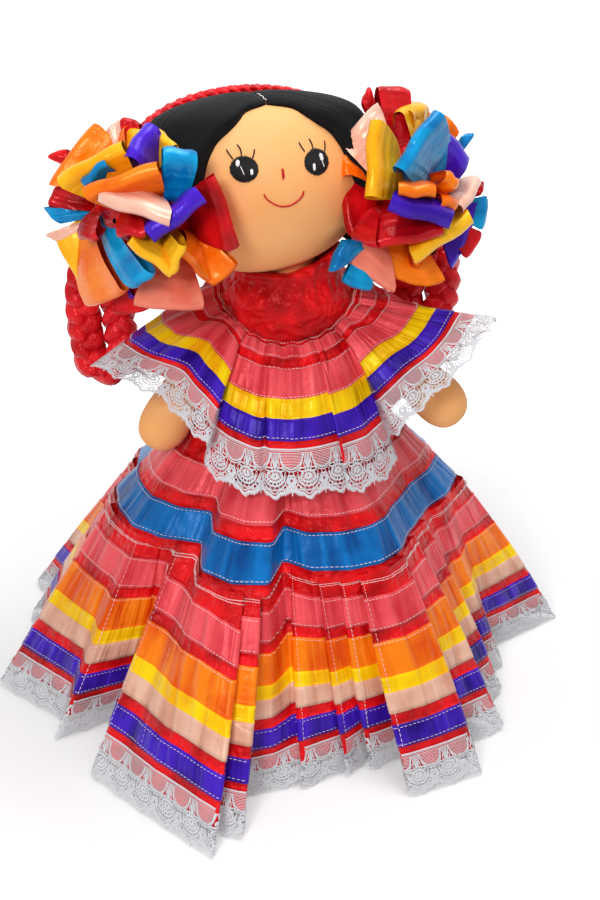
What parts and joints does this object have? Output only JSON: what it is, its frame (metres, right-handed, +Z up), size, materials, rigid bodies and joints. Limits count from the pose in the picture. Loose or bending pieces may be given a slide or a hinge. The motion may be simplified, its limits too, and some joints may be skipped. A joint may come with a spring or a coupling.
{
  "type": "rag doll",
  "caption": "Stuffed cloth doll standing on a wide tiered ribbon skirt, with a lace-edged ruffle, yarn hair, satin plaits and ribbon pompons; its head, arms, legs and plaits move.",
  "frame": {"origin": "on the floor, under the middle of the skirt's hem", "axes": "+Z up, -Y the way the doll faces, +X towards the doll's own left hand"},
  "size_m": [0.4364, 0.4923, 0.457],
  "materials": {
    "skin_cloth": "matte",
    "red_satin": "satin",
    "mixed_satin_ribbon": "satin",
    "white_lace": "matte",
    "black_yarn": "matte",
    "black_thread": "satin",
    "red_thread": "satin"
  },
  "bodies": {
    "torso": {"torso": "skin_cloth", "bodice": "red_satin", "waistband": "red_satin", "skirt_upper_tier": "red_satin", "skirt_lower_tier": "red_satin", "hem_lace": "white_lace", "flounce": "red_satin", "flounce_lace": "white_lace"},
    "neck": {"neck": "skin_cloth"},
    "head": {"head": "skin_cloth", "left_hair": "black_yarn", "right_hair": "black_yarn", "left_eye": "black_thread", "right_eye": "black_thread", "nose_stitch": "red_thread", "mouth_stitch": "red_thread", "crown_plait": "red_satin", "left_pompon": "mixed_satin_ribbon", "right_pompon": "mixed_satin_ribbon"},
    "left_plait": {"left_plait": "red_satin"},
    "right_plait": {"right_plait": "red_satin"},
    "left_arm": {"left_arm": "skin_cloth"},
    "right_arm": {"right_arm": "skin_cloth"},
    "left_leg": {"left_leg": "skin_cloth"},
    "right_leg": {"right_leg": "skin_cloth"}
  },
  "joints": [
    {"name": "neck_nod", "type": "hinge", "parent": "torso", "child": "neck", "pos_m": [0, 0, 0.301], "axis": [1, 0, 0], "range_deg": [-10, 12], "stiffness_Nm_per_rad": 4, "deforming": ["flounce", "flounce_lace"]},
    {"name": "head_turn", "type": "hinge", "parent": "neck", "child": "head", "pos_m": [0, 0, 0.301], "axis": [0, 0, 1], "range_deg": [-15, 15], "stiffness_Nm_per_rad": 1, "deforming": ["flounce", "flounce_lace"]},
    {"name": "left_plait_swing", "type": "hinge", "parent": "head", "child": "left_plait", "pos_m": [0.035, 0.045, 0.342], "axis": [1, 0, 0], "range_deg": [0, 40], "deforming": ["flounce", "flounce_lace"]},
    {"name": "right_plait_swing", "type": "hinge", "parent": "head", "child": "right_plait", "pos_m": [-0.073, 0.045, 0.342], "axis": [1, 0, 0], "range_deg": [0, 40], "deforming": ["flounce", "flounce_lace"]},
    {"name": "left_arm_raise", "type": "hinge", "parent": "torso", "child": "left_arm", "pos_m": [0.038, 0, 0.288], "axis": [0, -1, 0], "range_deg": [0, 24], "deforming": ["flounce", "flounce_lace"]},
    {"name": "right_arm_raise", "type": "hinge", "parent": "torso", "child": "right_arm", "pos_m": [-0.038, 0, 0.288], "axis": [0, 1, 0], "range_deg": [0, 38], "deforming": ["flounce", "flounce_lace"]},
    {"name": "left_leg_swing", "type": "hinge", "parent": "torso", "child": "left_leg", "pos_m": [0.022, 0, 0.196], "axis": [-1, 0, 0], "range_deg": [-10, 35]},
    {"name": "right_leg_swing", "type": "hinge", "parent": "torso", "child": "right_leg", "pos_m": [-0.022, 0, 0.196], "axis": [-1, 0, 0], "range_deg": [-10, 35]}
  ]
}
